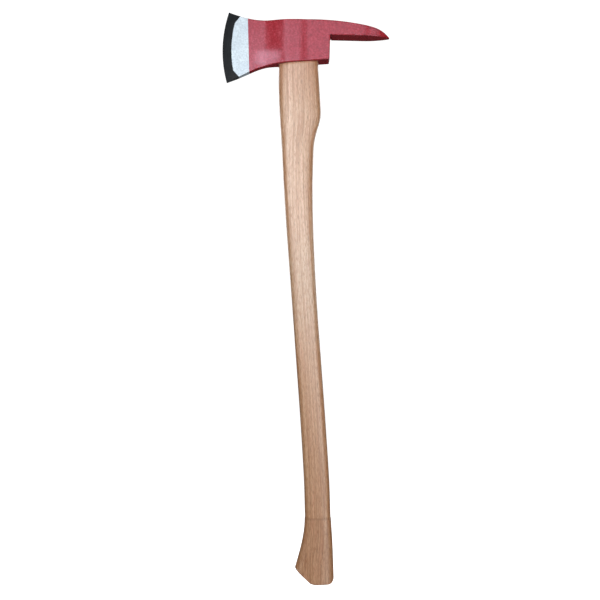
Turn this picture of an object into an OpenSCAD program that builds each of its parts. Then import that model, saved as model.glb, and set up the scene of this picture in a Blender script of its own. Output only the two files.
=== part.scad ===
// Pick-head fire axe: one forged head wedged onto a curved hardwood handle.
// The cutting edge faces -X, the pick points to +X, and +Z runs up the handle to the head.
// The origin is the centre of the eye, where the handle enters the underside of the head.

/* [Head] */
// Height of the head above the centre of the eye
head_h = 67.5; // [62:0.5:70]
// Thickness of the head across the front half of the eye
boss_t = 37.5; // [35:0.5:42]
// Distance from the centre of the eye to the striking face of the poll
poll_x = 51; // [48:1:56]
// How much further in the foot of the striking face lies than its top
poll_lean = 1; // [0:0.1:2]
// Length of the eye, from blade side to poll side
eye_l = 60; // [54:1:61]
// Width of the eye
eye_w = 20; // [17:0.5:22]
// Slope of the underside of the head, rising towards the poll, in degrees
underside_slope = 4; // [3:0.1:5]

/* [Blade] */
// Radius of the curved cutting edge
edge_r = 195; // [185:1:205]
// Distance from the centre of the eye to the foremost point of the cutting edge
edge_reach = 124.2; // [120:0.1:130]
// Height of that foremost point above the origin
edge_mid_z = 20; // [16:0.5:24]
// Thickness left at the very edge
edge_t = 0.6; // [0.4:0.1:1.2]
// Width of the ground cutting bevel
bevel_w = 15; // [12:0.5:18]
// Thickness of the blade where the bevel starts
bevel_t = 11; // [9:0.5:13]
// Thickness the plain taper of the cheeks would reach at the centre of the eye
cheek_root_t = 30; // [28:0.5:34]
// Radius of the hollow curve along the top of the blade
top_sweep_r = 138; // [128:1:150]
// Radius of the curve where the underside turns down into the heel
heel_sweep_r = 132; // [120:1:145]
// Steepness of the straight lower edge of the blade, in degrees
heel_drop = 24.5; // [21:0.5:27]

/* [Pick] */
// Length of the pick beyond the poll face
pick_l = 96.5; // [90:0.5:105]
// Depth of the pick at its root
pick_h = 25; // [23:0.5:28]
// Width of the pick at its root, and of the poll
pick_w = 34.5; // [30:0.5:36]
// Fall of the flat underside of the pick towards its tip, in degrees
pick_droop = 1.2; // [0:0.1:2.5]
// Radius of the long curve along the back of the poll and pick
pick_back_r = 435; // [415:1:455]
// Radius of the small relief bored in the corner under the pick
relief_r = 1.5; // [1:0.5:3]

/* [Handle] */
// Height of the flat end of the foot
foot_z = -846.5; // [-850:0.5:-840]
// Height of the shallow step above the foot
step_z = -740; // [-745:0.5:-735]
// Depth of the shallow step
step_d = 0.5; // [0.2:0.1:0.8]
// Roundness of the section: 2 is an ellipse, more is squarer
section_power = 2.7; // [2.2:0.1:3.4]

/* [Wedges] */
// Depth of the saw kerf in the tongue of the handle
kerf_depth = 50; // [46:1:56]
// Depth to which the wooden wedge is driven
wedge_depth = 44; // [36:1:45]
// Thickness of the wooden wedge at its top
wedge_top_t = 5; // [4:0.5:7]
// Thickness of the wooden wedge at its bottom, and of the kerf
kerf_t = 1.2; // [1:0.1:1.6]
// Distance of each steel wedge from the centre of the eye
steel_x = 14; // [10:1:18]
// Width of each steel wedge, across the eye
steel_w = 15; // [10:1:16]
// Depth of each steel wedge
steel_depth = 22; // [14:1:28]
// Thickness of each steel wedge at its top
steel_top_t = 3.2; // [2:0.2:4]
// Thickness of each steel wedge at its tip
steel_tip_t = 0.6; // [0.4:0.1:0.8]

/* [Hidden] */
$fn = 96;
// Size of the blanks that the shapes are trimmed from
blank = 400;

// Centre of the arc of the cutting edge, in the side view
edge_cx = edge_r - edge_reach;
// Where the hollow top of the blade starts, and where the underside starts to turn down
top_sweep_x = -49;
heel_sweep_x = -32;
// How far the eye boss runs on inside the blade
boss_lap = 6;
heel_cx = heel_sweep_x + heel_sweep_r * sin(underside_slope);
heel_cz = heel_sweep_x * tan(underside_slope) - heel_sweep_r * cos(underside_slope);
// Grinds that take off the toe and heel corners: a point where each starts, and its direction
toe_grind = [-103.5, 64.8, 138.5];
heel_grind = [-106.3, -12.5, 223.7];
grind_run = 20;
// The cheeks swell into the eye boss between these two places
neck_x0 = -56;
neck_x1 = -14;
neck_steps = 18;
// The boss narrows to the width of the poll between these two places
narrow_x0 = 0.5;
narrow_x1 = 16.5;
narrow_steps = 10;
// Side view of the pick: where its back curve starts, where it turns down into the tip, and the radius of that turn
back_x = 18;
pick_tip_x = poll_x + pick_l;
nose_x = pick_tip_x - 25;
nose_r = 53.4;
nose_slope = asin((nose_x - back_x) / pick_back_r);
nose_z = head_h - pick_back_r * (1 - cos(nose_slope));
pick_floor_z = head_h - pick_h;
// Plan view of the pick: its side arcs
pick_taper_x = pick_tip_x - 43.5;
pick_side_r = 77.5;

// Edges of the handle in the side view, as [height, x], and its half thickness
shoulder_top = 8;
blade_side = [[shoulder_top, -32.2], [-35, -33.5], [-83, -31.6], [-134, -28.4], [-208, -24.6], [-290, -19.2],
    [-388, -11.8], [-486, -4.7], [-584, 2.3], [-682, 8.1], [-725, 9.2], [-745, 9.7], [-760, 8.4], [-775, 6],
    [-800, -0.2], [-823, -7], [-856, -18]];
pick_side = [[shoulder_top, 31], [-10, 32.6], [-35, 34.5], [-62, 36], [-83, 37.1], [-92, 36.1], [-107, 31.6],
    [-120, 27.7], [-134, 25.5], [-160, 24.5], [-208, 23.4], [-290, 25.3], [-388, 30.4], [-486, 37.3], [-584, 44.4],
    [-682, 50.6], [-740, 52.6], [-775, 55], [-812, 56.5], [-856, 57.9]];
half_thick = [[shoulder_top, 14.5], [-60, 14.3], [-134, 13.3], [-290, 12.2], [-486, 12], [-682, 12.6],
    [-752, 13.2], [-820, 14.5], [-856, 14.8]];
// Fawn's foot: its toe as [x, height], where its flat end starts, and its rounded rear corner
foot_toe = [-8, -820];
foot_flat_x = 21.2;
foot_back_x = 57.6;
foot_corner_r = 10;
corner_steps = 8;
// Rings of the handle above and below the shallow step, and sides of each ring
grip_rings = 54;
foot_rings = 9;
ring_sides = 28;
handle_end = -856;

// Smooth step from 0 to 1
function ease(t) = t * t * (3 - 2 * t);

// Slope of a curve given as [height, value] points, at point i
function slope_at(points, i) =
    let (a = max(i - 1, 0), b = min(i + 1, len(points) - 1))
    (points[b][1] - points[a][1]) / (points[b][0] - points[a][0]);

// Index of the stretch of such a curve that holds height z; the points run downwards
function stretch_at(points, z) = max([for (i = [0 : len(points) - 2]) if (i == 0 || z <= points[i][0]) i]);

// Value of such a curve at height z, by a smooth cubic through its points
function curve(points, z) =
    let (
        i = stretch_at(points, z),
        h = points[i + 1][0] - points[i][0],
        t = (z - points[i][0]) / h,
        d0 = h * slope_at(points, i),
        d1 = h * slope_at(points, i + 1)
    )
    points[i][1] + (points[i + 1][1] - points[i][1]) * ease(t) + d0 * t * (1 - t) ^ 2 - d1 * t ^ 2 * (1 - t);

// Half thickness of the cheek at x, as a plain taper from the bevel to the centre of the eye
function cheek_half(x) =
    let (bevel_x = bevel_w - edge_reach)
    (bevel_t + (cheek_root_t - bevel_t) * (1 - x / bevel_x)) / 2;

// Half thickness of the head at x, with the cheek swelling into the eye boss
function head_half(x) =
    cheek_half(x) + (boss_t / 2 - cheek_half(x)) * ease((x - neck_x0) / (neck_x1 - neck_x0));

// One ring of the handle: a squared oval between its two edges
function handle_ring(z, inset) =
    let (
        x0 = curve(blade_side, z) + inset,
        x1 = curve(pick_side, z) - inset,
        half = curve(half_thick, z) - inset
    )
    [for (k = [0 : ring_sides - 1])
        let (a = 360 * (k + 0.5) / ring_sides)
        [(x0 + x1) / 2 + (x1 - x0) / 2 * sign(cos(a)) * abs(cos(a)) ^ (2 / section_power),
         half * sign(sin(a)) * abs(sin(a)) ^ (2 / section_power),
         z]];

// Extrudes a side view, drawn as x and z, across the axe by width w
module across(w) {
    rotate([90, 0, 0])
        linear_extrude(w, center = true)
            children();
}

// Side view of the blade, from the neck to past the cutting edge
module blade_outline() {
    difference() {
        translate([-blank / 2, -blank / 2])
            square([blank / 2 + heel_sweep_x, blank]);
        // Hollow top edge, and all that is above it
        translate([top_sweep_x, head_h + top_sweep_r])
            circle(top_sweep_r);
        translate([top_sweep_x, head_h])
            square(blank);
        // Sweep of the lower edge, and its straight run to the heel
        translate([heel_cx, heel_cz])
            circle(heel_sweep_r);
        translate([heel_cx - heel_sweep_r * sin(heel_drop), heel_cz + heel_sweep_r * cos(heel_drop)])
            rotate(heel_drop)
                translate([-blank, -blank])
                    square(blank);
        translate([heel_cx - heel_sweep_r * sin(heel_drop), -blank])
            square([blank, blank + heel_cz]);
    }
}

// All that lies under the top of the head: level at first, then falling along a long curve towards the pick
module under_back() {
    translate([-blank, -blank / 2])
        square([blank + back_x, blank / 2 + head_h]);
    translate([back_x, head_h - pick_back_r])
        circle(pick_back_r);
}

// Side view of the eye boss and poll, on its sloping underside
module boss_outline() {
    poll_foot_x = poll_x - poll_lean;
    intersection() {
        polygon([
            [heel_sweep_x, heel_sweep_x * tan(underside_slope)],
            [poll_foot_x, poll_foot_x * tan(underside_slope)],
            [poll_x, pick_floor_z],
            [poll_x, head_h],
            [heel_sweep_x - boss_lap, head_h],
            [heel_sweep_x - boss_lap, 0]
        ]);
        under_back();
    }
}

// Side view of the pick: a long curve along its back, then a tighter one down to the tip
module pick_outline() {
    difference() {
        union() {
            intersection() {
                square([nose_x, head_h]);
                under_back();
            }
            intersection() {
                translate([pick_taper_x, 0])
                    square([pick_tip_x - pick_taper_x, head_h]);
                translate([nose_x - nose_r * sin(nose_slope), nose_z - nose_r * cos(nose_slope)])
                    circle(nose_r);
            }
        }
        translate([poll_x, pick_floor_z])
            rotate(-pick_droop)
                translate([-blank / 2, -blank])
                    square(blank);
    }
}

// Plan of the head: blade, boss, poll and pick, with two arcs that close in to the tip
module head_plan() {
    side = concat(
        [[-edge_reach, cheek_half(-edge_reach)]],
        [for (k = [0 : neck_steps])
            let (x = neck_x0 + (neck_x1 - neck_x0) * k / neck_steps)
            [x, head_half(x)]],
        [for (k = [0 : narrow_steps])
            [narrow_x0 + (narrow_x1 - narrow_x0) * k / narrow_steps,
             boss_t / 2 + (pick_w - boss_t) / 2 * ease(k / narrow_steps)]],
        [[pick_tip_x + 1, pick_w / 2]]
    );
    difference() {
        polygon(concat(side, [for (k = [len(side) - 1 : -1 : 0]) [side[k][0], -side[k][1]]]));
        for (side = [-1, 1])
            difference() {
                translate([pick_taper_x, (side - 1) / 2 * pick_w])
                    square([pick_l, pick_w]);
                translate([pick_taper_x, side * (pick_w / 2 - pick_side_r)])
                    circle(pick_side_r);
            }
    }
}

// Solid of revolution that leaves only what lies inside the two ground faces of the cutting bevel
module bevel_limit() {
    flare = bevel_t / 2 * edge_r / bevel_w;
    translate([edge_cx, 0, edge_mid_z])
        rotate([90, 0, 0])
            rotate_extrude($fn = 180)
                polygon([[0, -flare], [edge_r, -edge_t / 2], [edge_r, edge_t / 2], [0, flare]]);
}

// Long prism that leaves only what lies inside the two ground faces of one blade corner
module corner_limit(grind) {
    flare = bevel_t / 2 * (1 + blank / grind_run);
    translate([grind[0], 0, grind[1]])
        rotate([0, -grind[2], 0])
            linear_extrude(2 * blank, center = true)
                polygon([[-blank, -flare], [grind_run, -edge_t / 2], [grind_run, edge_t / 2], [-blank, flare]]);
}

// Long oval of the eye, with flat sides and round ends
module eye_prism(z0, z1) {
    translate([0, 0, z0])
        linear_extrude(z1 - z0) {
            square([eye_l - eye_w, eye_w], center = true);
            for (side = [-1, 1])
                translate([side * (eye_l - eye_w) / 2, 0])
                    circle(eye_w / 2);
        }
}

// Everything above the sloping underside of the head
module above_underside() {
    rotate([0, -underside_slope, 0])
        translate([-blank / 2, -blank / 2, 0])
            cube(blank);
}

// Flat taper of the wooden wedge, thickest at the top of the head
module wooden_wedge_blank() {
    rotate([90, 0, 90])
        linear_extrude(eye_l, center = true)
            polygon([
                [-wedge_top_t / 2, head_h],
                [-kerf_t / 2, head_h - wedge_depth],
                [kerf_t / 2, head_h - wedge_depth],
                [wedge_top_t / 2, head_h]
            ]);
}

// One steel wedge, lying across the eye at place x
module steel_wedge(x) {
    translate([x, 0, 0])
        across(steel_w)
            polygon([
                [-steel_top_t / 2, head_h],
                [-steel_tip_t / 2, head_h - steel_depth],
                [steel_tip_t / 2, head_h - steel_depth],
                [steel_top_t / 2, head_h]
            ]);
}

// Side view that trims the fawn's foot: a slanting cut, a flat end and a round rear corner
module foot_outline() {
    cut = (foot_z - foot_toe[1]) / (foot_flat_x - foot_toe[0]);
    polygon(concat(
        [[-blank / 4, foot_toe[1] - cut * (blank / 4 + foot_toe[0])], [foot_flat_x, foot_z]],
        [for (k = [0 : corner_steps])
            let (a = -90 + 90 * k / corner_steps)
            [foot_back_x + foot_corner_r * (cos(a) - 1), foot_z + foot_corner_r * (1 + sin(a))]],
        [[blank / 4, foot_z + foot_corner_r], [blank / 4, blank / 4], [-blank / 4, blank / 4]]
    ));
}

// Outside of the handle below the head, before its ends are trimmed
module handle_sweep() {
    heights = concat(
        [for (k = [0 : grip_rings]) [shoulder_top + (step_z + step_d - shoulder_top) * k / grip_rings, step_d]],
        [for (k = [0 : foot_rings]) [step_z - step_d + (handle_end - step_z + step_d) * k / foot_rings, 0]]
    );
    rings = [for (h = heights) handle_ring(h[0], h[1])];
    last = len(rings) - 1;
    polyhedron(
        points = [for (ring = rings) each ring],
        faces = concat(
            [[for (k = [ring_sides - 1 : -1 : 0]) k]],
            [for (r = [0 : last - 1], k = [0 : ring_sides - 1])
                let (next = (k + 1) % ring_sides)
                [r * ring_sides + k, r * ring_sides + next, (r + 1) * ring_sides + next, (r + 1) * ring_sides + k]],
            [[for (k = [0 : ring_sides - 1]) last * ring_sides + k]]
        )
    );
}

module axe_head() {
    color("firebrick")
        difference() {
            intersection() {
                across(blank) {
                    blade_outline();
                    boss_outline();
                    pick_outline();
                }
                translate([0, 0, -blank / 2])
                    linear_extrude(blank)
                        head_plan();
                bevel_limit();
                corner_limit(toe_grind);
                corner_limit(heel_grind);
            }
            eye_prism(-blank / 4, blank / 4);
            translate([poll_x + relief_r, 0, pick_floor_z])
                rotate([90, 0, 0])
                    cylinder(h = blank, r = relief_r, center = true);
        }
}

module handle() {
    color("burlywood")
        difference() {
            union() {
                difference() {
                    intersection() {
                        handle_sweep();
                        across(blank)
                            foot_outline();
                    }
                    above_underside();
                }
                eye_prism(-eye_w / 2, head_h);
            }
            translate([-eye_l / 2, -kerf_t / 2, head_h - kerf_depth])
                cube([eye_l, kerf_t, kerf_depth]);
            wooden_wedge_blank();
            steel_wedge(-steel_x);
            steel_wedge(steel_x);
        }
}

module eye_wedge() {
    color("peru")
        difference() {
            intersection() {
                wooden_wedge_blank();
                eye_prism(0, head_h);
            }
            steel_wedge(-steel_x);
            steel_wedge(steel_x);
        }
}

module steel_wedge_front() {
    color("silver")
        steel_wedge(-steel_x);
}

module steel_wedge_rear() {
    color("silver")
        steel_wedge(steel_x);
}

axe_head();
handle();
eye_wedge();
steel_wedge_front();
steel_wedge_rear();
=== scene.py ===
"""Looks of the pick-head fire axe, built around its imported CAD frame.

Outlines are worked out in millimetres, in the frame's own axes: x from the cutting edge to the pick,
y across the head and z up the handle. Each mesh is turned into metres as it is made.
"""
import math

import bmesh
import bpy
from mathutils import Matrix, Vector, noise
from mathutils.bvhtree import BVHTree


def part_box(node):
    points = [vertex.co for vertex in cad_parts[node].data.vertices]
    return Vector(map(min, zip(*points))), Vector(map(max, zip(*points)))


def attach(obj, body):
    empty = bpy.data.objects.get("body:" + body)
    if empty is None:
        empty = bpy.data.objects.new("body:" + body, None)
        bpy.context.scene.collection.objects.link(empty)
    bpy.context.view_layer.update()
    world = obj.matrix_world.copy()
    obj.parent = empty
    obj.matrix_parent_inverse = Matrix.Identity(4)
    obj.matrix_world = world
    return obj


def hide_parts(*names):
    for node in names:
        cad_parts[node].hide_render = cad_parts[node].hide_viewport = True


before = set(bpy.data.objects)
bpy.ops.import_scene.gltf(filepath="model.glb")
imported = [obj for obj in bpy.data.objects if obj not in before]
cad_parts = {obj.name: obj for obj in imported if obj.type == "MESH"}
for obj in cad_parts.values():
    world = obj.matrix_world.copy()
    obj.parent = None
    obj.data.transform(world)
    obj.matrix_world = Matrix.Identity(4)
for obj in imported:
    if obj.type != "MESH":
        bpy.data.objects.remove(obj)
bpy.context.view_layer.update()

METRES = 0.001


def box_mm(node):
    """Lowest and highest corner of a CAD node, in millimetres."""
    low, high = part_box(node)
    return low / METRES, high / METRES


HEAD_LOW, HEAD_HIGH = box_mm("axe_head")
WEDGE_HIGH = box_mm("eye_wedge")[1]

# Head, as the CAD has it
TOP_Z = WEDGE_HIGH.z
BOSS_HALF = HEAD_HIGH.y
EYE_HALF_LENGTH = WEDGE_HIGH.x
EYE_HALF_WIDTH = 10.0
EDGE_X = HEAD_LOW.x
TIP_X = HEAD_HIGH.x
POLL_X = 51.0
# How much further in the foot of the striking face lies than its top
POLL_LEAN = 1.0
UNDERSIDE_SLOPE = math.tan(math.radians(4.0))
PICK_FLOOR_Z = TOP_Z - 25.0
PICK_DROOP = math.tan(math.radians(1.2))
RELIEF_R = 1.5
EDGE_R = 195.0
EDGE_CENTRE = (EDGE_X + EDGE_R, 20.0)
TOP_SWEEP_X, TOP_SWEEP_R = -49.0, 138.0
HEEL_SWEEP_X, HEEL_SWEEP_R, HEEL_DROP = -32.0, 132.0, math.radians(24.5)
BACK_X, BACK_R, NOSE_X, NOSE_R = 18.0, 435.0, TIP_X - 25.0, 53.4
PICK_HALF, PICK_TAPER_X, PICK_SIDE_R = 17.25, TIP_X - 43.5, 77.5
BEVEL_WIDTH, BEVEL_HALF, EDGE_HALF = 15.0, 5.5, 0.3
# Cheek half thickness that the blade's plain taper would reach at the centre of the eye
CHEEK_ROOT_HALF = 15.0
# The cheeks swell into the eye boss between the first two, and the boss narrows to the poll
# between the other two
NECK_X0, NECK_X1 = -56.0, -14.0
NARROW_X0, NARROW_X1 = 0.5, 16.5
# Corners of the black bevel's inner line, and where its corner grinds meet
# the blade's upper and lower edges
TOE_GRIND, TOE_GRIND_X = (-103.5, 64.8), -94.5
HEEL_GRIND, HEEL_GRIND_X = (-106.3, -12.5), -97.0

# Head, what is added to the CAD
# Round where the underside meets the striking face
POLL_CORNER = 1.6
# Radius of the rounded rim: on the blade, where it grows over a run from near the cutting edge, on the
# eye boss, which it grows to from the paint, and on the pick, where it shrinks to the tip
BLADE_ROUND, ROUND_START_X, BLADE_ROUND_RUN = 0.7, -104.0, 14.0
BOSS_ROUND, BOSS_ROUND_RUN = 1.5, 40.0
PICK_ROUND, PICK_ROUND_X, TIP_ROUND = 1.4, 60.0, 0.4
# How far the faces of the bevel bulge
BEVEL_CROWN = 0.25
# The forged cheeks wave in and out by this much at most, over about these lengths in x and z
WAVE_DEPTH, WAVE_X, WAVE_Z = 0.22, 34.0, 30.0
# Hollow of the cheek above the heel: its depth, where it ends towards the eye and upwards, and
# the lengths over which it deepens from the paint's edge, from the eye and from its top
HOLLOW_DEPTH, HOLLOW_END_X, HOLLOW_TOP_Z = 1.8, -18.0, 22.0
HOLLOW_FROM_PAINT, HOLLOW_FROM_EYE, HOLLOW_FROM_TOP = 25.0, 22.0, 30.0
# The red paint starts here, halfway up, and its edge leans forward by this much over the blade's height
PAINT_X = -81.3
PAINT_LEAN = 2.2

# Handle, as the CAD has it
STEP_Z = -740.0
FOOT_Z = box_mm("handle")[0].z
FOOT_TOE = (-8.0, -820.0)
FOOT_FLAT_X, FOOT_BACK_X = 21.2, 57.6
FOOT_CORNER_R = 10.0
# Power of the section's squared oval, where 2 would be a plain oval
SECTION_POWER = 2.7
# Points round each ring of the handle, and where its rings start to turn into the foot's slanting end
SIDES = 72
FOOT_START_Z = -790.0
# Middle of the pale sheen painted onto the grip, and the share of the handle's bow that its grain follows
GRIP_SHEEN_Z = -360.0
GRAIN_BEND = 0.9

# Wedges, as the CAD has them but for the wooden one's ends, which stop 0.4 mm short of the eye's:
# half sizes in x and y at the top and at the tip, and the depth of the tip
WOODEN_WEDGE = (29.6, 2.5), (29.6, 0.6), 44.0
STEEL_WEDGE = (1.6, 7.5), (0.3, 7.5), 22.0
STEEL_WEDGE_XS = (-14.0, 14.0)
# Play round a wedge in its slot, and how far the steel wedges stand proud of the wood
PLAY = 0.1
STEEL_PROUD = 0.4


def ease(t):
    """Smooth step from 0 to 1."""
    t = min(max(t, 0.0), 1.0)
    return t * t * (3 - 2 * t)


def lerp(a, b, t):
    return a + (b - a) * t


# ---------------------------------------------------------------- camera, lights and stage, in metres

CAMERA_AT = Vector((0.0022, -1.45, -0.3854))
FRAME_WIDTH = 0.9786
SENSOR = 36.0
# Room below the axe's foot, and radius of the backdrop
FLOOR_DROP, BACKDROP_R = 0.35, 7.0


def add_camera():
    """A level camera opposite the middle of the handle."""
    data = bpy.data.cameras.new("camera")
    data.sensor_width = SENSOR
    data.lens = SENSOR * -CAMERA_AT.y / FRAME_WIDTH
    camera = bpy.data.objects.new("camera", data)
    camera.location = CAMERA_AT
    camera.rotation_euler = (math.radians(90), 0, 0)
    bpy.context.scene.collection.objects.link(camera)
    bpy.context.scene.camera = camera


def add_softbox(name, place, target, width, height, watts):
    """A rectangular soft light that faces target."""
    data = bpy.data.lights.new(name, "AREA")
    data.shape = "RECTANGLE"
    data.size, data.size_y = width, height
    data.energy = watts
    lamp = bpy.data.objects.new(name, data)
    lamp.location = place
    lamp.rotation_euler = (Vector(target) - Vector(place)).to_track_quat("-Z", "Y").to_euler()
    lamp.visible_camera = False
    bpy.context.scene.collection.objects.link(lamp)


def add_world(zenith, horizon, nadir):
    """Plain grey light from all round, with its brightness straight up, level and straight down."""
    world = bpy.data.worlds.new("studio")
    world.use_nodes = True
    bpy.context.scene.world = world
    tree = world.node_tree
    coords = tree.nodes.new("ShaderNodeTexCoord")
    parts = tree.nodes.new("ShaderNodeSeparateXYZ")
    height = tree.nodes.new("ShaderNodeMapRange")
    height.inputs["From Min"].default_value = -1
    ramp = tree.nodes.new("ShaderNodeValToRGB")
    ramp.color_ramp.elements.new(0.5)
    for stop, grey in zip(ramp.color_ramp.elements, (nadir, horizon, zenith)):
        stop.color = (grey, grey, grey, 1)
    tree.links.new(coords.outputs["Generated"], parts.inputs[0])
    tree.links.new(parts.outputs["Z"], height.inputs["Value"])
    tree.links.new(height.outputs[0], ramp.inputs["Fac"])
    tree.links.new(ramp.outputs["Color"], tree.nodes["Background"].inputs["Color"])


def white_material(name, shade, glow):
    """Matt surface that also glows, so that it reads as plain white."""
    made = bpy.data.materials.new(name)
    made.use_nodes = True
    shader = made.node_tree.nodes["Principled BSDF"]
    shader.inputs["Base Color"].default_value = (shade, shade, shade, 1)
    shader.inputs["Roughness"].default_value = 0.9
    shader.inputs["Emission Color"].default_value = (1, 1, 1, 1)
    shader.inputs["Emission Strength"].default_value = glow
    return made


def add_stage():
    """A pale floor below the hanging axe, inside a pale round backdrop."""
    floor_z = FOOT_Z * METRES - FLOOR_DROP
    bpy.ops.mesh.primitive_circle_add(
        vertices=96, radius=BACKDROP_R, fill_type="NGON", location=(0, 0, floor_z))
    floor = bpy.context.object
    floor.name = "floor"
    floor.data.materials.append(white_material("pale_floor", 0.8, 0.88))
    bpy.ops.mesh.primitive_uv_sphere_add(segments=64, ring_count=32, radius=BACKDROP_R)
    backdrop = bpy.context.object
    backdrop.name = "backdrop"
    backdrop.data.materials.append(white_material("pale_backdrop", 0.0, 1.1))
    for piece in (floor, backdrop):
        piece.visible_diffuse = False
        piece.visible_glossy = False
        piece.visible_transmission = False
        piece.visible_shadow = False


# ---------------------------------------------------------------- materials

class Graph:
    """A material's node tree, with short calls for the nodes that the materials here are made of."""

    def __init__(self, name):
        self.material = bpy.data.materials.new(name)
        self.material.use_nodes = True
        self.tree = self.material.node_tree
        self.shader = self.tree.nodes["Principled BSDF"]

    def fixed(self, **values):
        """Sets constants on the shader's own sockets; an underscore stands for a space."""
        for name, value in values.items():
            self.shader.inputs[name.replace("_", " ")].default_value = value

    def node(self, kind, **settings):
        made = self.tree.nodes.new("ShaderNode" + kind)
        for name, value in settings.items():
            setattr(made, name, value)
        return made

    def feed(self, socket, value):
        """Links value to a socket if it is one, or else sets it."""
        if isinstance(value, bpy.types.NodeSocket):
            self.tree.links.new(value, socket)
        elif isinstance(value, tuple) and len(value) == 3 and socket.type == "RGBA":
            socket.default_value = (*value, 1)
        else:
            socket.default_value = value

    def position(self):
        return self.node("TexCoord").outputs["Object"]

    def attribute(self, name):
        return self.node("Attribute", attribute_name=name).outputs["Vector"]

    def stretched(self, vector, factors):
        made = self.node("VectorMath", operation="MULTIPLY")
        self.feed(made.inputs[0], vector)
        made.inputs[1].default_value = factors
        return made.outputs[0]

    def noise(self, vector, scale=1.0, detail=2.0, roughness=0.5, distortion=0.0):
        made = self.node("TexNoise")
        self.feed(made.inputs["Vector"], vector)
        made.inputs["Scale"].default_value = scale
        made.inputs["Detail"].default_value = detail
        made.inputs["Roughness"].default_value = roughness
        made.inputs["Distortion"].default_value = distortion
        return made.outputs["Fac"]

    def remap(self, value, low, high, to_low=0.0, to_high=1.0):
        made = self.node("MapRange", clamp=True)
        self.feed(made.inputs["Value"], value)
        ends = {"From Min": low, "From Max": high, "To Min": to_low, "To Max": to_high}
        for name, number in ends.items():
            made.inputs[name].default_value = number
        return made.outputs[0]

    def math(self, operation, a, b=0.0):
        made = self.node("Math", operation=operation)
        self.feed(made.inputs[0], a)
        self.feed(made.inputs[1], b)
        return made.outputs[0]

    def axis(self, vector, name):
        parts = self.node("SeparateXYZ")
        self.feed(parts.inputs[0], vector)
        return parts.outputs[name]

    def mix(self, factor, a, b, blend="MIX"):
        made = self.node("Mix", data_type="RGBA", blend_type=blend, clamp_factor=True)
        self.feed(made.inputs["Factor"], factor)
        self.feed(made.inputs[6], a)
        self.feed(made.inputs[7], b)
        return made.outputs[2]

    def bump(self, height, distance, strength=1.0, under=None):
        made = self.node("Bump")
        made.inputs["Strength"].default_value = strength
        made.inputs["Distance"].default_value = distance
        self.feed(made.inputs["Height"], height)
        if under is not None:
            self.feed(made.inputs["Normal"], under)
        return made.outputs[0]

    def drive(self, name, value):
        self.feed(self.shader.inputs[name], value)


def red_enamel():
    """Semi-gloss red enamel over a forging: slight orange peel, a soft mottle and faint rub marks."""
    g = Graph("red_enamel")
    place = g.position()
    mottle = g.noise(place, scale=90, detail=4, roughness=0.6)
    lumps = g.noise(place, scale=330, detail=3, roughness=0.65)
    rubs = g.noise(g.stretched(place, (1, 1, 0.12)), scale=900, detail=3, roughness=0.65, distortion=0.4)
    colour = g.mix(g.remap(mottle, 0.3, 0.7), (0.285, 0.006, 0.011), (0.33, 0.010, 0.017))
    colour = g.mix(g.remap(lumps, 0.5, 0.66, 0.0, 0.8), colour, (0.42, 0.035, 0.05))
    colour = g.mix(g.remap(lumps, 0.5, 0.36, 0.0, 0.8), colour, (0.21, 0.003, 0.006))
    g.drive("Base Color", g.mix(g.remap(rubs, 0.58, 0.75, 0.0, 0.25), colour, (0.38, 0.06, 0.08)))
    g.drive("Roughness", g.remap(mottle, 0.3, 0.7, 0.2, 0.27))
    peel = g.bump(lumps, 0.0002, 0.4)
    g.drive("Normal", g.bump(mottle, 0.0003, 0.4, peel))
    g.fixed(Specular_IOR_Level=0.77, Specular_Tint=(0.96, 0.79, 1.0, 1.0))
    return g.material


def bare_steel():
    """Freshly ground pale steel: fine grinding lines across the blade, and a cloudy sheen."""
    g = Graph("bare_steel")
    place = g.position()
    lines = g.noise(g.stretched(place, (0.2, 0.2, 1)), scale=2600, detail=3, roughness=0.7)
    cloud = g.noise(place, scale=70, detail=4, roughness=0.6, distortion=0.6)
    colour = g.mix(g.remap(cloud, 0.35, 0.7), (0.50, 0.585, 0.66), (0.64, 0.73, 0.79))
    speck = g.noise(place, scale=420, detail=3, roughness=0.7)
    colour = g.mix(g.remap(speck, 0.45, 0.65, 0.0, 0.9), colour, (0.36, 0.43, 0.49))
    g.drive("Base Color", g.mix(g.remap(lines, 0.3, 0.7, 0.0, 0.35), colour, (0.45, 0.52, 0.58)))
    g.drive("Roughness", g.remap(lines, 0.3, 0.7, 0.42, 0.6))
    g.drive("Normal", g.bump(lines, 0.00004, 0.4))
    g.fixed(Metallic=0.45)
    return g.material


def black_bevel():
    """Blackened steel of the ground cutting bevel, satin, with faint draw marks along the edge."""
    g = Graph("black_bevel")
    place = g.position()
    marks = g.noise(g.stretched(place, (1, 1, 0.15)), scale=1500, detail=3, roughness=0.65)
    cloud = g.noise(place, scale=110, detail=3, roughness=0.6)
    colour = g.mix(g.remap(cloud, 0.3, 0.7), (0.004, 0.006, 0.008), (0.008, 0.011, 0.014))
    g.drive("Base Color", g.mix(g.remap(marks, 0.55, 0.8, 0.0, 0.4), colour, (0.02, 0.026, 0.031)))
    g.drive("Roughness", g.remap(marks, 0.3, 0.7, 0.5, 0.65))
    g.drive("Normal", g.bump(marks, 0.00005, 0.4))
    g.fixed(Specular_IOR_Level=0.25)
    return g.material


def worn_steel(name, shade):
    """Plain mild steel of the wedges, with hammer marks."""
    g = Graph(name)
    place = g.position()
    cloud = g.noise(place, scale=400, detail=4, roughness=0.6)
    g.drive("Base Color", g.mix(cloud, (shade * 0.6, shade * 0.6, shade * 0.62), (shade, shade, shade)))
    g.drive("Roughness", g.remap(cloud, 0.3, 0.7, 0.35, 0.6))
    g.drive("Normal", g.bump(cloud, 0.0002, 0.5))
    g.fixed(Metallic=0.9)
    return g.material


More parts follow.
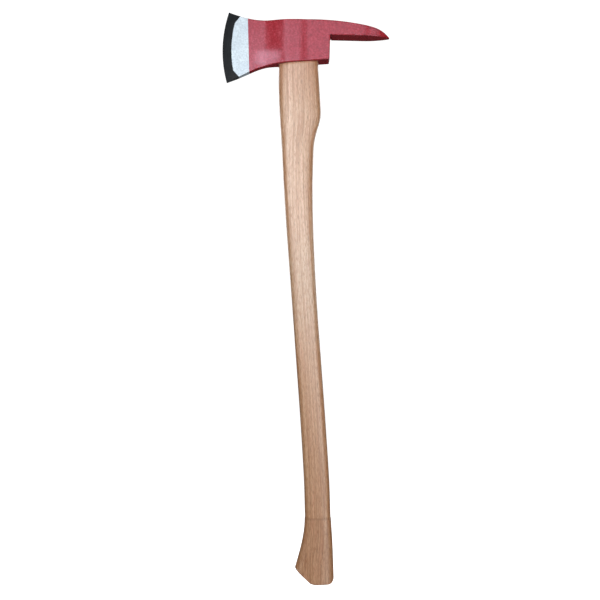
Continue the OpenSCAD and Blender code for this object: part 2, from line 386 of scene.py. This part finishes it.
def painted_grip_sheen(g, colour):
    """Paints a pale sheen onto the wood of the grip, fading out above and below its middle."""
    height = g.axis(g.position(), "Z")
    from_sheen = g.math("ABSOLUTE", g.math("SUBTRACT", height, GRIP_SHEEN_Z * METRES))
    return g.mix(g.remap(from_sheen, 0.03, 0.12, 0.5, 0.0), colour, (0.55, 0.44, 0.31))


def handle_tones_and_painted_shade(g, colour):
    """Painted shade and red head reflection under the head, painted shade down to the foot, and darker wood
    below and along the step.
    """
    height = g.axis(g.position(), "Z")
    step_z = STEP_Z * METRES
    # Painted shade and painted red reflection of the head, on the wood just below it
    painted_head_shade = g.remap(height, -0.07, 0.0, 0.0, 0.6)
    colour = g.mix(painted_head_shade, colour, (0.88, 0.72, 0.66), blend="MULTIPLY")
    # Painted shade: the wood darkens down towards the foot, where less light falls
    painted_falloff_shade = g.remap(height, -0.3, -0.6, 0.0, 0.5)
    colour = g.mix(painted_falloff_shade, colour, (0.82, 0.7, 0.56), blend="MULTIPLY")
    below_step = g.remap(height, step_z - 0.001, step_z, 0.35, 0.0)
    colour = g.mix(below_step, colour, (0.78, 0.68, 0.58), blend="MULTIPLY")
    from_step = g.math("ABSOLUTE", g.math("SUBTRACT", height, step_z))
    step_line = g.remap(from_step, 0.0008, 0.003, 0.5, 0.0)
    return g.mix(step_line, colour, (0.6, 0.5, 0.4), blend="MULTIPLY")


def wood(name, pale, warm, dark, is_handle=False):
    """Straight-grained hardwood. The grain follows the mesh's own grain coordinates, in metres along z."""
    g = Graph(name)
    grain = g.attribute("grain")
    drift = g.noise(g.stretched(grain, (30, 30, 2.2)), detail=2)
    broad = g.noise(g.stretched(grain, (110, 110, 4.0)), detail=3, roughness=0.55, distortion=0.3)
    streak = g.noise(g.stretched(grain, (640, 640, 5)), detail=4, roughness=0.7, distortion=0.2)
    fibre = g.noise(g.stretched(grain, (950, 950, 130)), detail=3, roughness=0.65)
    pores = g.noise(g.stretched(grain, (900, 900, 120)), detail=2, roughness=0.5)
    blush = g.noise(g.stretched(grain, (260, 260, 22)), detail=2)
    rings = g.math("SINE", g.math("ADD", g.math("MULTIPLY", g.axis(grain, "X"), 1250),
                                  g.math("MULTIPLY", drift, 22)))
    early = g.remap(rings, 0.2, 0.95)
    colour = g.mix(g.remap(broad, 0.32, 0.68), pale, warm)
    if is_handle:
        # Painted sheen: paler wood round the middle of the grip
        colour = painted_grip_sheen(g, colour)
    colour = g.mix(g.remap(blush, 0.5, 0.7, 0.0, 0.6), colour, (1.03, 0.88, 0.92), blend="MULTIPLY")
    colour = g.mix(g.remap(streak, 0.46, 0.61, 0.0, 0.85), colour, dark)
    colour = g.mix(g.remap(fibre, 0.48, 0.66, 0.0, 0.9), colour, dark)
    colour = g.mix(g.math("MULTIPLY", early, 0.25), colour, dark)
    crowding = g.math("ADD", g.math("MULTIPLY", early, 0.5), 0.4)
    pore = g.math("MULTIPLY", g.remap(pores, 0.54, 0.62), crowding)
    colour = g.mix(g.math("MULTIPLY", pore, 0.6), colour, tuple(c * 0.5 for c in dark))
    across = g.math("ABSOLUTE", g.axis(g.node("TexCoord").outputs["Normal"], "Z"))
    colour = g.mix(g.remap(across, 0.6, 0.9, 0.0, 0.45), colour, (0.55, 0.42, 0.32), blend="MULTIPLY")
    if is_handle:
        # Painted shade and reflection near the head and down the handle, and darker wood at the step
        colour = handle_tones_and_painted_shade(g, colour)
    g.drive("Base Color", colour)
    g.drive("Roughness", g.remap(streak, 0.3, 0.7, 0.34, 0.46))
    g.drive("Normal", g.bump(g.math("ADD", fibre, g.math("MULTIPLY", pore, -1.5)), 0.00012, 0.5))
    g.fixed(Specular_IOR_Level=1.0, IOR=1.6)
    return g.material


# ---------------------------------------------------------------- mesh helpers

def mesh_object(name, points, faces, materials, face_materials=None, smooth=True):
    """A closed mesh object from points in millimetres, with its faces turned outwards."""
    mesh = bpy.data.meshes.new(name)
    mesh.from_pydata([(x * METRES, y * METRES, z * METRES) for x, y, z in points], [], faces)
    for material in materials:
        mesh.materials.append(material)
    if face_materials:
        mesh.polygons.foreach_set("material_index", face_materials)
    work = bmesh.new()
    work.from_mesh(mesh)
    bmesh.ops.remove_doubles(work, verts=work.verts, dist=1e-7)
    bmesh.ops.dissolve_degenerate(work, edges=work.edges, dist=1e-7)
    bmesh.ops.recalc_face_normals(work, faces=work.faces)
    for face in work.faces:
        face.smooth = smooth
    work.to_mesh(mesh)
    work.free()
    made = bpy.data.objects.new(name, mesh)
    bpy.context.scene.collection.objects.link(made)
    return made


def sharpen(piece, degrees):
    """Marks edges sharper than an angle, so that smooth shading stops at them."""
    work = bmesh.new()
    work.from_mesh(piece.data)
    for edge in work.edges:
        if len(edge.link_faces) == 2:
            edge.smooth = edge.calc_face_angle(0) < math.radians(degrees)
    work.to_mesh(piece.data)
    work.free()


def soften(piece, width):
    """Bevels every edge of a small piece a little; width is in millimetres."""
    work = bmesh.new()
    work.from_mesh(piece.data)
    bmesh.ops.bevel(work, geom=work.edges, offset=width * METRES, segments=2, profile=0.5, affect="EDGES")
    work.to_mesh(piece.data)
    work.free()


def cut(piece, cutter):
    """Takes one object's solid out of another's, for good, and drops the cutter."""
    modifier = piece.modifiers.new("cut", "BOOLEAN")
    modifier.operation = "DIFFERENCE"
    modifier.solver = "EXACT"
    modifier.object = cutter
    bpy.context.view_layer.update()
    graph = bpy.context.evaluated_depsgraph_get()
    cut_mesh = bpy.data.meshes.new_from_object(piece.evaluated_get(graph))
    piece.modifiers.remove(modifier)
    old, piece.data = piece.data, cut_mesh
    bpy.data.meshes.remove(old)
    bpy.data.objects.remove(cutter)


# ---------------------------------------------------------------- axe head: outlines and thickness

def head_top(x):
    """Height of the head's upper outline at x."""
    if x < TOP_SWEEP_X:
        return TOP_Z + TOP_SWEEP_R - math.sqrt(TOP_SWEEP_R ** 2 - (x - TOP_SWEEP_X) ** 2)
    if x < BACK_X:
        return TOP_Z
    if x < NOSE_X:
        return TOP_Z - BACK_R + math.sqrt(BACK_R ** 2 - (x - BACK_X) ** 2)
    slope = math.asin((NOSE_X - BACK_X) / BACK_R)
    centre_x = NOSE_X - NOSE_R * math.sin(slope)
    centre_z = TOP_Z - BACK_R * (1 - math.cos(slope)) - NOSE_R * math.cos(slope)
    return centre_z + math.sqrt(max(NOSE_R ** 2 - (x - centre_x) ** 2, 0))


def head_bottom(x):
    """Height of the head's lower outline at x, from the heel to the poll."""
    start_z = HEEL_SWEEP_X * UNDERSIDE_SLOPE
    lean = math.atan(UNDERSIDE_SLOPE)
    centre_x = HEEL_SWEEP_X + HEEL_SWEEP_R * math.sin(lean)
    centre_z = start_z - HEEL_SWEEP_R * math.cos(lean)
    line_x = centre_x - HEEL_SWEEP_R * math.sin(HEEL_DROP)
    line_z = centre_z + HEEL_SWEEP_R * math.cos(HEEL_DROP)
    if x < line_x:
        return line_z + (x - line_x) * math.tan(HEEL_DROP)
    if x < HEEL_SWEEP_X:
        return centre_z + math.sqrt(HEEL_SWEEP_R ** 2 - (x - centre_x) ** 2)
    corner = max(x - (POLL_X - POLL_LEAN - POLL_CORNER), 0)
    return x * UNDERSIDE_SLOPE + POLL_CORNER - math.sqrt(max(POLL_CORNER ** 2 - corner ** 2, 0))


def pick_floor(x):
    """Height of the pick's underside at x."""
    return PICK_FLOOR_Z - (x - POLL_X) * PICK_DROOP


POLL_LOW, POLL_HIGH = head_bottom(POLL_X - POLL_LEAN), head_top(POLL_X)


def cheek_half(x):
    """Half thickness of the plain taper of the cheeks."""
    bevel_x = EDGE_X + BEVEL_WIDTH
    return lerp(CHEEK_ROOT_HALF, BEVEL_HALF, x / bevel_x)


def boss_half(x, z):
    """Half thickness of the red part of the head, from the neck to the poll face."""
    side = lerp(cheek_half(x), BOSS_HALF, ease((x - NECK_X0) / (NECK_X1 - NECK_X0)))
    hollow_along = ease((x - PAINT_X) / HOLLOW_FROM_PAINT) * ease((HOLLOW_END_X - x) / HOLLOW_FROM_EYE)
    hollow = HOLLOW_DEPTH * ease((HOLLOW_TOP_Z - z) / HOLLOW_FROM_TOP) * hollow_along
    narrowing = (BOSS_HALF - PICK_HALF) * ease((x - NARROW_X0) / (NARROW_X1 - NARROW_X0))
    return side - hollow - narrowing


def pick_half(x):
    """Half width of the pick."""
    if x < PICK_TAPER_X:
        return PICK_HALF
    return PICK_HALF - PICK_SIDE_R + math.sqrt(PICK_SIDE_R ** 2 - (x - PICK_TAPER_X) ** 2)


def edge_rounding(x):
    """Radius of the rounded rim of the head at x."""
    if x < PAINT_X:
        return BLADE_ROUND * ease((x - ROUND_START_X) / BLADE_ROUND_RUN)
    if x < POLL_X:
        return lerp(BLADE_ROUND, BOSS_ROUND, ease((x - PAINT_X) / BOSS_ROUND_RUN))
    return lerp(PICK_ROUND, TIP_ROUND, ease((x - PICK_ROUND_X) / (TIP_X - PICK_ROUND_X)))


def rounded(half, radius, *distances):
    """Half thickness near a rim, dropped by a round of that radius."""
    if radius <= 0:
        return half
    miss = math.sqrt(sum(max(radius - d, 0) ** 2 for d in distances))
    return half - radius + math.sqrt(max(radius ** 2 - miss ** 2, 0))


# ---------------------------------------------------------------- axe head: lines across the blade
# Each line runs from the blade's lower outline, at share 0 of the height, to its upper one, at share 1.

def edge_angle(x, z):
    """Direction of a point from the centre of the cutting edge's arc."""
    return math.atan2(z - EDGE_CENTRE[1], x - EDGE_CENTRE[0]) % math.tau


def edge_end(outline):
    """Direction in which the cutting edge's arc meets the upper or lower outline."""
    x = EDGE_X
    for _ in range(60):
        z = outline(x)
        x = EDGE_CENTRE[0] - math.sqrt(EDGE_R ** 2 - (z - EDGE_CENTRE[1]) ** 2)
    return edge_angle(x, z)


HEEL_ANGLE, TOE_ANGLE = edge_angle(*HEEL_GRIND), edge_angle(*TOE_GRIND)
HEEL_END, TOE_END = edge_end(head_bottom), edge_end(head_top)
# Share of the rows that each of the two corner grinds takes
CORNER_SHARE = 0.15


def arc_point(radius, angle):
    """A point on the cutting edge's arc, or on another one round the same centre."""
    return EDGE_CENTRE[0] + radius * math.cos(angle), EDGE_CENTRE[1] + radius * math.sin(angle)


def middle_angle(share):
    """Direction at a share of the height between the two corner grinds."""
    return lerp(HEEL_ANGLE, TOE_ANGLE, (share - CORNER_SHARE) / (1 - 2 * CORNER_SHARE))


def edge_line(share):
    """The cutting edge."""
    if share < CORNER_SHARE:
        return arc_point(EDGE_R, lerp(HEEL_END, HEEL_ANGLE, share / CORNER_SHARE))
    if share > 1 - CORNER_SHARE:
        return arc_point(EDGE_R, lerp(TOE_END, TOE_ANGLE, (1 - share) / CORNER_SHARE))
    return arc_point(EDGE_R, middle_angle(share))


def bevel_line(share):
    """The inner line of the black bevel: an arc, with a straight grind at each of its corners."""
    if share < CORNER_SHARE:
        t = share / CORNER_SHARE
        return lerp(HEEL_GRIND_X, HEEL_GRIND[0], t), lerp(head_bottom(HEEL_GRIND_X), HEEL_GRIND[1], t)
    if share > 1 - CORNER_SHARE:
        t = (1 - share) / CORNER_SHARE
        return lerp(TOE_GRIND_X, TOE_GRIND[0], t), lerp(head_top(TOE_GRIND_X), TOE_GRIND[1], t)
    return arc_point(EDGE_R - BEVEL_WIDTH, middle_angle(share))


def paint_line(share):
    """The front edge of the red paint."""
    x = PAINT_X - PAINT_LEAN * (share - 0.5)
    return x, lerp(head_bottom(x), head_top(x), share)


def between(first, second, t, share):
    """A point between two of these lines, kept to the lower and upper outlines at its ends."""
    (x0, z0), (x1, z1) = first(share), second(share)
    x, z = lerp(x0, x1, t), lerp(z0, z1, t)
    x_low, z_low = lerp(first(0)[0], second(0)[0], t), lerp(first(0)[1], second(0)[1], t)
    x_top, z_top = lerp(first(1)[0], second(1)[0], t), lerp(first(1)[1], second(1)[1], t)
    z += (1 - share) ** 3 * (head_bottom(x_low) - z_low) + share ** 3 * (head_top(x_top) - z_top)
    return x, z


# ---------------------------------------------------------------- axe head: the grid of a cheek
# A cheek is a grid of rows, from the underside up, and columns, from the cutting edge to the pick's
# tip. Rows lie closer together near a rim, so that it can be rounded.

RIM_STEPS = (0.0, 0.12, 0.4, 0.85, 1.4, 2.0, 2.6)
RIM_BAND = 3.2
COLUMN_PITCH = 1.35
# The head's material slots
RED, STEEL, BLACK = 0, 1, 2


def spaced(low, high, step):
    """Even steps of about that size from low to high, with both ends."""
    count = max(round(abs(high - low) / step), 1)
    return [lerp(low, high, k / count) for k in range(count + 1)]


def head_rows():
    """Rows of the grid, as (share of the height, offset in mm), and which one is the pick's underside."""
    full = POLL_HIGH - POLL_LOW
    floor_share = (PICK_FLOOR_Z - POLL_LOW) / full
    below, above = 22, 14
    rows = [(0.0, d) for d in RIM_STEPS]
    rows += [(lerp(RIM_BAND / full, floor_share, k / below), 0.0) for k in range(below + 1)]
    floor_row = len(rows) - 1
    rows += [(floor_share, d) for d in RIM_STEPS[1:]]
    first, last = floor_share + RIM_BAND / full, 1 - RIM_BAND / full
    rows += [(lerp(first, last, k / above), 0.0) for k in range(above + 1)]
    rows += [(1.0, -d) for d in reversed(RIM_STEPS)]
    return rows, floor_row


# A column is (x, z and half thickness at each row, its first row, material of the strip after it).

def bevel_columns(shares, count=12):
    """The black bevel, slightly crowned, from the cutting edge inwards."""
    columns = []
    for c in range(count):
        t = c / count
        column = []
        for share in shares:
            x, z = between(edge_line, bevel_line, t, share)
            inner = cheek_half(bevel_line(share)[0])
            column.append((x, z, lerp(EDGE_HALF, inner, t) + BEVEL_CROWN * math.sin(math.pi * t)))
        columns.append((column, 0, BLACK))
    return columns


def steel_columns(shares, count=18):
    """The bare steel band, from the bevel to the paint."""
    columns = []
    for c in range(count):
        column = []
        for share in shares:
            x, z = between(bevel_line, paint_line, c / count, share)
            half = rounded(cheek_half(x), edge_rounding(x), z - head_bottom(x), head_top(x) - z)
            column.append((x, z, half))
        columns.append((column, 0, STEEL))
    return columns


def body_columns(rows, shares, floor_share):
    """The red body, from the paint's edge to the poll, whose face leans in below the pick."""
    columns = []
    lean_start_x, paint_lean_fade, corner_fade = 20, 20, 2.5
    body_xs = spaced(PAINT_X, POLL_X - RIM_BAND, COLUMN_PITCH) + [POLL_X - d for d in reversed(RIM_STEPS)]
    for column_x in body_xs:
        column = []
        lean = POLL_LEAN * ease((column_x - lean_start_x) / (POLL_X - lean_start_x))
        paint_share = 1 - ease((column_x - PAINT_X) / paint_lean_fade)
        for (row_share, offset), share in zip(rows, shares):
            x = column_x - PAINT_LEAN * (share - 0.5) * paint_share
            low, high = head_bottom(x - lean), head_top(x)
            x -= lean * max(1 - share / floor_share, 0)
            z = low + row_share * (high - low) + offset
            from_poll = POLL_X - column_x + RIM_BAND * ease((z - PICK_FLOOR_Z) / corner_fade)
            half = rounded(boss_half(x, z), edge_rounding(min(x, POLL_X - 1)), z - low, high - z, from_poll)
            column.append((x, z, half))
        columns.append((column, 0, RED))
    return columns


def pick_columns(rows, floor_row):
    """The pick, from the poll to its tip, on the rows above its underside.

    The rows near its rims close up where it is lower than the unsqueezed height.
    """
    columns = []
    unsqueezed = 12
    floor_share = rows[floor_row][0]
    pick_xs = [POLL_X + d for d in (0.6, 1.4, 2.4)] + spaced(POLL_X + 3.5, TIP_X - 3, COLUMN_PITCH)
    pick_xs += [TIP_X - d for d in (2.2, 1.5, 0.9, 0.4, 0.0)]
    for x in pick_xs:
        floor, high = pick_floor(x), max(head_top(x), pick_floor(x) + 0.5)
        height = high - floor
        squeeze = min(1.0, height / unsqueezed)
        column = [None] * floor_row
        for share, offset in rows[floor_row:]:
            z = floor + (share - floor_share) / (1 - floor_share) * height + offset * squeeze
            z = min(max(z, floor), high)
            half = rounded(pick_half(x), min(edge_rounding(x), height / 3), z - floor, high - z)
            column.append((x, z, half))
        columns.append((column, floor_row, RED))
    return columns


# ---------------------------------------------------------------- axe head: the mesh

def cheek_points(columns, row_count):
    """Points of both cheeks, and the number of each by column, row and side.

    The painted part waves in and out a little, as a forging does.
    """
    points, index = [], {}
    for c, (column, first, _) in enumerate(columns):
        for r in range(first, row_count):
            x, z, half = column[r]
            if PAINT_X < x < TIP_X - 12:
                wave = noise.noise(Vector((x / WAVE_X, z / WAVE_Z, 3.1))) * WAVE_DEPTH
                half += wave * ease((x - PAINT_X) / 15)
            for side in (-1, 1):
                index[c, r, side] = len(points)
                points.append((x, side * max(half, 0.15), z))
    return points, index


def cheek_faces(columns, row_count, index):
    """Faces of both cheeks, each with its material."""
    faces = []
    for c in range(len(columns) - 1):
        first = max(columns[c][1], columns[c + 1][1])
        for r in range(first, row_count - 1):
            for side in (-1, 1):
                corners = ((c, r), (c + 1, r), (c + 1, r + 1), (c, r + 1))
                faces.append((tuple(index[(*corner, side)] for corner in corners), columns[c][2]))
    return faces


def rim_loop(poll_column, last_column, floor_row, last_row):
    """Places round the grid: the underside, poll face, pick's underside, tip, top and cutting edge."""
    loop = [(c, 0) for c in range(poll_column + 1)]
    loop += [(poll_column, r) for r in range(1, floor_row + 1)]
    loop += [(c, floor_row) for c in range(poll_column + 1, last_column + 1)]
    loop += [(last_column, r) for r in range(floor_row + 1, last_row + 1)]
    loop += [(c, last_row) for c in range(last_column - 1, -1, -1)]
    loop += [(0, r) for r in range(last_row - 1, 0, -1)]
    return loop


def rim_faces(loop, columns, points, index, across=10):
    """Faces of the rim that joins the cheeks along the loop. Adds the points between them to points."""
    strips = {}
    for place in loop:
        front, back = index[(*place, -1)], index[(*place, 1)]
        strip = [front]
        x, y, z = points[back]
        for k in range(1, across):
            strip.append(len(points))
            points.append((x, lerp(-y, y, k / across), z))
        strips[place] = strip + [back]
    faces = []
    for here, there in zip(loop, loop[1:] + loop[:1]):
        a, b = strips[here], strips[there]
        material = columns[min(here[0], there[0])][2]
        for k in range(across):
            faces.append(((a[k], b[k], b[k + 1], a[k + 1]), material))
    return faces


def build_head(paint, steel, black):
    """The forged head: two cheeks joined by a rim, with the eye and the relief under the pick cut out."""
    rows, floor_row = head_rows()
    shares = [share + offset / (POLL_HIGH - POLL_LOW) for share, offset in rows]
    columns = bevel_columns(shares) + steel_columns(shares)
    columns += body_columns(rows, shares, rows[floor_row][0])
    poll_column = len(columns) - 1
    columns += pick_columns(rows, floor_row)

    points, index = cheek_points(columns, len(rows))
    loop = rim_loop(poll_column, len(columns) - 1, floor_row, len(rows) - 1)
    faces = cheek_faces(columns, len(rows), index) + rim_faces(loop, columns, points, index)
    corners, slots = zip(*faces)
    head = mesh_object("head_forging", points, corners, [paint, steel, black], slots)

    cut(head, eye_cutter())
    bpy.ops.mesh.primitive_cylinder_add(
        vertices=40, radius=RELIEF_R * METRES, depth=0.08,
        location=((POLL_X + RELIEF_R) * METRES, 0, PICK_FLOOR_Z * METRES), rotation=(math.pi / 2, 0, 0))
    cut(head, bpy.context.object)
    sharpen(head, 32)
    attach(head, "root")
    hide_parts("axe_head")


def stadium(half_length, half_width, sides=64):
    """Long oval with flat sides and round ends, starting at +x and running towards +y."""
    straight = half_length - half_width
    ring = []
    for k in range(sides):
        angle = math.tau * (k + 0.5) / sides
        x, y = half_width * math.cos(angle), half_width * math.sin(angle)
        ring.append((x + math.copysign(straight, x), y))
    return ring


def loft(rings):
    """Points and faces of a closed solid through rings of equal count."""
    count = len(rings[0])
    points = [point for ring in rings for point in ring]
    faces = [tuple(range(count))]
    for r in range(len(rings) - 1):
        for k in range(count):
            n = (k + 1) % count
            faces.append((r * count + k, (r + 1) * count + k, (r + 1) * count + n, r * count + n))
    faces.append(tuple(range(len(points) - count, len(points))))
    return points, faces


def eye_cutter():
    """The eye's oval through the head, with a small lip chamfer at its top."""
    lip = 0.8
    levels = [(-30, 0), (TOP_Z - lip, 0), (TOP_Z + 3, lip + 3)]
    rings = [[(x, y, z) for x, y in stadium(EYE_HALF_LENGTH + grow, EYE_HALF_WIDTH + grow)]
             for z, grow in levels]
    points, faces = loft(rings)
    return mesh_object("eye_cutter", points, faces, [], smooth=False)


# ---------------------------------------------------------------- handle

class HandleShape:
    """Edges and half thickness of the CAD handle at any height, smoothed over its facets."""

    def __init__(self):
        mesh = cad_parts["handle"].data
        self.tree = BVHTree.FromPolygons([v.co for v in mesh.vertices], [p.vertices for p in mesh.polygons])

    def hit(self, start, direction):
        """Where a ray in that direction first meets the CAD handle, in millimetres."""
        place = self.tree.ray_cast(Vector(start) * METRES, Vector(direction))[0]
        return place / METRES

    def raw(self, z):
        """Left edge, right edge and half thickness of the CAD handle itself."""
        x0 = self.hit((-200, 0, z), (1, 0, 0)).x
        x1 = self.hit((200, 0, z), (-1, 0, 0)).x
        half = -self.hit(((x0 + x1) / 2, -100, z), (0, 1, 0)).y
        return x0, x1, half

    def at(self, z):
        """Left edge, right edge and half thickness: each the mean of five heights near z, on one side of
        the step. They stay the same over the top 12 mm, and run on straight in the foot's end.
        """
        low_limit, high_limit = FOOT_TOE[1] + 8, -12
        reach = 6.0 if abs(z - STEP_Z) > 8 else 0.8
        off_step = 1.2
        centre = min(max(z, low_limit), high_limit)
        heights = [centre + reach * k / 2 for k in range(-2, 3)]
        if centre < STEP_Z:
            heights = [min(h, STEP_Z - off_step) for h in heights]
        elif centre > STEP_Z:
            heights = [max(h, STEP_Z + off_step) for h in heights]
        samples = [self.raw(h) for h in heights]
        values = [sum(s[k] for s in samples) / len(samples) for k in range(3)]
        if z < low_limit:
            run = 14
            before, here = self.raw(low_limit + run), self.raw(low_limit)
            for k in range(3):
                values[k] += (here[k] - before[k]) / run * (low_limit - z)
        return values


def foot_floor(x):
    """Height of the foot's end at x: a slanting cut, a flat and a round rear corner."""
    slope = (FOOT_Z - FOOT_TOE[1]) / (FOOT_FLAT_X - FOOT_TOE[0])
    slant = FOOT_TOE[1] + (x - FOOT_TOE[0]) * slope
    corner = min(max(x - (FOOT_BACK_X - FOOT_CORNER_R), 0), FOOT_CORNER_R)
    round_up = FOOT_CORNER_R - math.sqrt(max(FOOT_CORNER_R ** 2 - corner ** 2, 0))
    return max(slant, FOOT_Z + round_up)


def section_point(shape, z, k, shrink=0.0):
    """Point k of the handle's squared oval section at height z."""
    x0, x1, half = shape.at(z)
    power = 2 / SECTION_POWER
    angle = math.tau * (k + 0.5) / SIDES
    cos, sin = math.cos(angle), math.sin(angle)
    wide = (x1 - x0) / 2 - shrink
    x = (x0 + x1) / 2 + wide * math.copysign(abs(cos) ** power, cos)
    y = (half - shrink) * math.copysign(abs(sin) ** power, sin)
    return x, y


def foot_ring(shape, t, shrink=0.0, lift=0.0):
    """A ring between the level one at FOOT_START_Z, at t 0, and the slanting end of the foot, at t 1."""
    ring = []
    for k in range(SIDES):
        z = lerp(FOOT_START_Z, FOOT_Z, t)
        for _ in range(6):
            x, y = section_point(shape, z, k, shrink)
            z = lerp(FOOT_START_Z, foot_floor(x) + lift, t)
        ring.append((x, y, z))
    return ring


def tapered_block(name, centre_x, sizes, top_z, materials, play):
    """A wedge driven down into the eye, wider all round than its sizes by the play."""
    top_half, tip_half, depth = sizes
    rings = []
    for z, (half_x, half_y) in ((top_z, top_half), (TOP_Z - (depth + play), tip_half)):
        corners = ((-1, -1), (1, -1), (1, 1), (-1, 1))
        rings.append([(centre_x + sx * (half_x + play), sy * (half_y + play), z) for sx, sy in corners])
    points, faces = loft(rings)
    return mesh_object(name, points, faces, materials, smooth=False)


def wooden_wedge(name, materials, play=0.0):
    """The wedge in the saw kerf, or with some play the cutter of the kerf."""
    return tapered_block(name, 0, WOODEN_WEDGE, TOP_Z + 4 * play, materials, play)


def steel_wedge(name, centre_x, top_z, materials, play=0.0):
    """One of the wedges across the kerf, or with some play the cutter of its slot."""
    return tapered_block(name, centre_x, STEEL_WEDGE, top_z, materials, play)


def add_grain(piece, bow):
    """Stores grain coordinates in metres, bent with the piece. bow gives its middle at a height, in mm."""
    grain = piece.data.attributes.new("grain", "FLOAT_VECTOR", "POINT")
    for vertex, value in zip(piece.data.vertices, grain.data):
        x, y, z = vertex.co
        value.vector = (x - GRAIN_BEND * bow(z / METRES) * METRES, y, z)


def build_wedges(wood_material, steel_material):
    """The wooden wedge in the saw kerf and the two steel wedges across it."""
    wedge = wooden_wedge("wedge_wood", [wood_material])
    for centre_x in STEEL_WEDGE_XS:
        cut(wedge, steel_wedge("cutter", centre_x, TOP_Z + 5, [], PLAY))
    # Another piece of wood than the handle, so its grain is read from another place
    add_grain(wedge, lambda z: 40.0)
    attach(wedge, "root")
    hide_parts("eye_wedge")
    front_x, rear_x = STEEL_WEDGE_XS
    for name, node, centre_x in (("wedge_steel_front", "steel_wedge_front", front_x),
                                 ("wedge_steel_rear", "steel_wedge_rear", rear_x)):
        piece = steel_wedge(name, centre_x, TOP_Z + STEEL_PROUD, [steel_material])
        soften(piece, 0.2)
        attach(piece, "root")
        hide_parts(node)


def build_handle(material):
    """The whole handle as one loft: tongue in the eye, shoulder, grip, step and fawn's foot."""
    shape = HandleShape()

    # The tongue, chamfered at its top, down to the head's underside
    gap, top_gap, top_chamfer = 0.05, 0.7, 0.6
    tongue = stadium(EYE_HALF_LENGTH - gap, EYE_HALF_WIDTH - gap, SIDES)
    end = stadium(EYE_HALF_LENGTH - top_gap, EYE_HALF_WIDTH - top_gap, SIDES)
    rings = [[(x, y, TOP_Z) for x, y in end], [(x, y, TOP_Z - top_chamfer) for x, y in tongue]]
    rings += [[(x, y, z) for x, y in tongue] for z in spaced(TOP_Z - 4, 8, 8)]
    rings.append([(x, y, x * UNDERSIDE_SLOPE - gap) for x, y in tongue])

    # The shoulder, grip and step. Its first rings tilt with the head's underside
    tilt_run = 30

    def shoulder_ring(z, shrink=0.0):
        """A ring at z, tilted if it lies less than tilt_run below the head."""
        tilt = ease((z + tilt_run) / tilt_run)
        return [(x, y, z + x * UNDERSIDE_SLOPE * tilt - gap)
                for x, y in (section_point(shape, z, k, shrink) for k in range(SIDES))]

    rings.append(shoulder_ring(0.0, 0.8))
    rings.append(shoulder_ring(-0.25, 0.25))
    rings.append(shoulder_ring(-0.9, 0.0))
    rings += [shoulder_ring(z) for z in spaced(-4, STEP_Z + 0.1, 4.2)]
    rings += [shoulder_ring(z) for z in spaced(STEP_Z - 0.1, FOOT_START_Z, 3.5)]

    # The foot, down to a little above its end, and then the round into its end
    steps, last = 14, 0.96
    rings += [foot_ring(shape, k / steps * last) for k in range(1, steps + 1)]
    radius, round_steps = 2.2, 5
    for k in range(round_steps + 1):
        angle = math.pi / 2 * k / round_steps
        rings.append(foot_ring(shape, 1.0, radius * (1 - math.cos(angle)), radius * (1 - math.sin(angle))))
    points, faces = loft(rings)
    handle = mesh_object("handle_wood", points, faces, [material])

    cut(handle, wooden_wedge("cutter", [], PLAY))
    for centre_x in STEEL_WEDGE_XS:
        cut(handle, steel_wedge("cutter", centre_x, TOP_Z + 5, [], PLAY))

    pitch = 4.0
    centres = {}

    def centre(z):
        """Middle of the handle near z, which is kept the same in the tongue and in the foot's end."""
        key = round(max(min(z, -20.0), -808.0) / pitch)
        if key not in centres:
            x0, x1, _ = shape.at(key * pitch)
            centres[key] = (x0 + x1) / 2
        return centres[key]

    add_grain(handle, centre)
    sharpen(handle, 40)
    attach(handle, "root")
    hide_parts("handle")


def add_lights():
    """Grey light from above and below, and softboxes in front of the axe and behind it."""
    add_world(zenith=0.35, horizon=0.0, nadir=0.12)
    for name, x, z, width, height, watts in (
            ("top", -0.07, 0.5, 0.95, 0.4, 2.4),
            ("left", -0.4, 0.1, 0.8, 0.4, 6.6),
            ("far_left", -1.2, -0.1, 0.8, 0.8, 12.0),
            ("centre", 0.2, -0.3, 1.2, 0.4, 7.3),
            ("right", 1.1, -0.5, 1.0, 2.4, 14.0),
            ("sheen", 0.6, -0.36, 0.35, 0.22, 3.0)):
        add_softbox(name, (x, -1.5, z), (x, 0, z), width, height, watts)
    add_softbox("low_back", (0, 0.8, -1.9), (0, 0, 0), 1.2, 1.2, 5)
    add_softbox("back_left", (-1.1, 1.5, 0.1), (0, 0, -0.3), 0.9, 1.2, 14)
    add_softbox("back_right", (1.1, 1.5, 0.1), (0, 0, -0.3), 0.9, 1.2, 12)
    add_softbox("back_top", (0, 1.5, 0.8), (0, 0, 0), 1.2, 0.4, 5)


def main():
    add_camera()
    add_lights()
    add_stage()
    bpy.context.scene.view_settings.view_transform = "Standard"

    build_head(red_enamel(), bare_steel(), black_bevel())
    build_handle(wood("hickory", pale=(0.615, 0.41, 0.27), warm=(0.52, 0.305, 0.178),
                      dark=(0.33, 0.14, 0.048), is_handle=True))
    build_wedges(wood("wedge_wood", pale=(0.5, 0.33, 0.2), warm=(0.42, 0.26, 0.15), dark=(0.2, 0.11, 0.06)),
                 worn_steel("wedge_steel", 0.5))


main()
